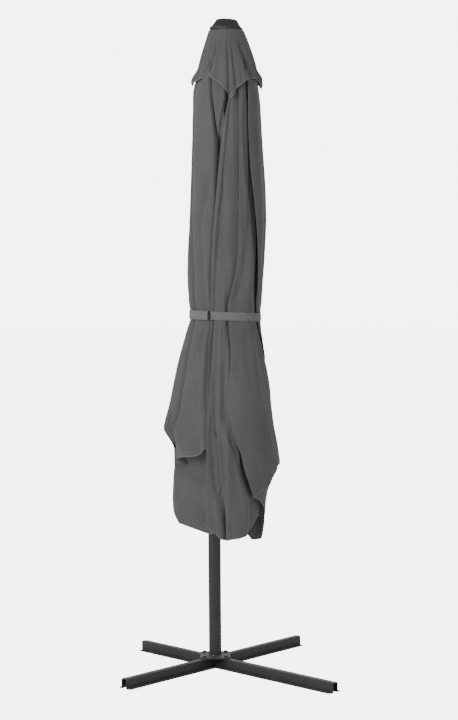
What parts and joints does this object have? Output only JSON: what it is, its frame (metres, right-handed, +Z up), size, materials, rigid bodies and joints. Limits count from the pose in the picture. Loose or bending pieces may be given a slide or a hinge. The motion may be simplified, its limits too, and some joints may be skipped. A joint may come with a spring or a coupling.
{
  "type": "cantilever parasol",
  "caption": "Folded cantilever parasol: gathered square canopy with a vent tier and strap, hung from a swing-out boom beside a mast on a cross base.",
  "frame": {"origin": "on the floor, in the middle of the cross base in plan", "axes": "+Z up along the mast; -Y towards the front, where the folded canopy hangs; +X to the right seen from the front"},
  "size_m": [0.7934, 0.7968, 2.42],
  "materials": {
    "base_steel": "satin, powder coated",
    "bolt_steel": "satin, blackened",
    "mast_steel": "satin, powder coated",
    "frame_steel": "satin, powder coated",
    "pin_steel": "zinc plated",
    "black_plastic": "fine texture",
    "grey_plastic": "smooth",
    "grip_rubber": "matt",
    "canopy_fabric": "woven polyester, matt",
    "strap_webbing": "woven webbing"
  },
  "bodies": {
    "stand": {"base_bar_through": "base_steel", "base_bar_cross": "base_steel", "foot_plate": "base_steel", "foot_bolt_front_left": "bolt_steel", "foot_bolt_front_right": "bolt_steel", "foot_bolt_rear_left": "bolt_steel", "foot_bolt_rear_right": "bolt_steel", "mast_lower": "mast_steel", "mast_spigot": "frame_steel", "mast_upper": "mast_steel", "mast_screw_lower": "bolt_steel", "mast_screw_upper": "bolt_steel", "mast_head": "black_plastic", "strut_pivot_pin": "pin_steel"},
    "strut": {"strut_bar_left": "frame_steel", "strut_bar_right": "frame_steel", "boom_pivot_pin": "pin_steel"},
    "boom": {"boom_tube": "frame_steel", "boom_foot": "black_plastic", "boom_head": "black_plastic", "boom_pivot_bush": "grey_plastic", "hanger_pin": "pin_steel"},
    "pulley": {"cord_pulley": "grey_plastic"},
    "slider": {"slider_body": "black_plastic", "slider_liner": "grey_plastic", "slider_grip": "grip_rubber", "slider_pin": "pin_steel", "crank_case": "black_plastic", "trigger_pin": "pin_steel"},
    "crank": {"crank_shaft": "pin_steel", "cord_drum": "grey_plastic", "crank_arm": "frame_steel"},
    "knob": {"crank_knob": "black_plastic"},
    "trigger": {"lock_trigger": "grip_rubber"},
    "lock": {"lock_pin": "pin_steel"},
    "canopy": {"hub_hanger": "frame_steel", "hub_pole": "frame_steel", "upper_hub": "black_plastic", "runner": "black_plastic", "crown_cap": "black_plastic", "canopy_vent": "canopy_fabric", "canopy_strap": "strap_webbing", "canopy_panel_1": "canopy_fabric", "canopy_panel_2": "canopy_fabric", "corner_rib_1": "frame_steel", "corner_rib_2": "frame_steel", "corner_rib_3": "frame_steel", "corner_rib_4": "frame_steel", "side_rib_1": "frame_steel", "side_rib_2": "frame_steel", "side_rib_3": "frame_steel", "side_rib_4": "frame_steel", "stretcher_1": "frame_steel", "stretcher_2": "frame_steel", "stretcher_3": "frame_steel", "stretcher_4": "frame_steel", "stretcher_5": "frame_steel", "stretcher_6": "frame_steel", "stretcher_7": "frame_steel", "stretcher_8": "frame_steel"}
  },
  "joints": [
    {"name": "strut_swing", "type": "hinge", "parent": "stand", "child": "strut", "pos_m": [-0.03031, -0.01035, 2.2], "axis": [-0.9659, -0.2588, 0], "range_deg": [0, 68]},
    {"name": "boom_fold", "type": "hinge", "parent": "strut", "child": "boom", "pos_m": [-0.03031, -0.01035, 1.48], "axis": [-0.9659, -0.2588, 0], "range_deg": [-136, 0]},
    {"name": "slider_hinge", "type": "hinge", "parent": "boom", "child": "slider", "pos_m": [-0.03031, -0.01035, 0.76], "axis": [-0.9659, -0.2588, 0], "range_deg": [0, 68]},
    {"name": "canopy_hinge", "type": "hinge", "parent": "boom", "child": "canopy", "pos_m": [-0.03031, -0.01035, 2.14], "axis": [-0.9659, -0.2588, 0], "range_deg": [0, 68]},
    {"name": "pulley_spin", "type": "hinge", "parent": "boom", "child": "pulley", "pos_m": [-0.03031, -0.01035, 2.14], "axis": [0.9659, 0.2588, 0], "continuous": true},
    {"name": "crank_turn", "type": "hinge", "parent": "slider", "child": "crank", "pos_m": [-0.04455, 0.04278, 0.79], "axis": [-0.2588, 0.9659, 0], "continuous": true},
    {"name": "knob_spin", "type": "hinge", "parent": "crank", "child": "knob", "pos_m": [-0.04455, 0.04278, 0.885], "axis": [-0.2588, 0.9659, 0], "continuous": true},
    {"name": "trigger_press", "type": "hinge", "parent": "slider", "child": "trigger", "pos_m": [-0.00301, 0.05391, 0.818], "axis": [-0.2588, 0.9659, 0], "range_deg": [0, 17], "stiffness_Nm_per_rad": 0.5, "springref_deg": -8.59},
    {"name": "lock_pull", "type": "slide", "parent": "slider", "child": "lock", "axis": [0.9659, 0.2588, 0], "range_m": [0, 0.006]}
  ],
  "couplings": [
    {"joint": "boom_fold", "follows": "strut_swing", "ratio": -2},
    {"joint": "slider_hinge", "follows": "strut_swing", "ratio": 1},
    {"joint": "canopy_hinge", "follows": "strut_swing", "ratio": 1},
    {"joint": "lock_pull", "follows": "trigger_press", "m_per_rad": 0.0202}
  ]
}
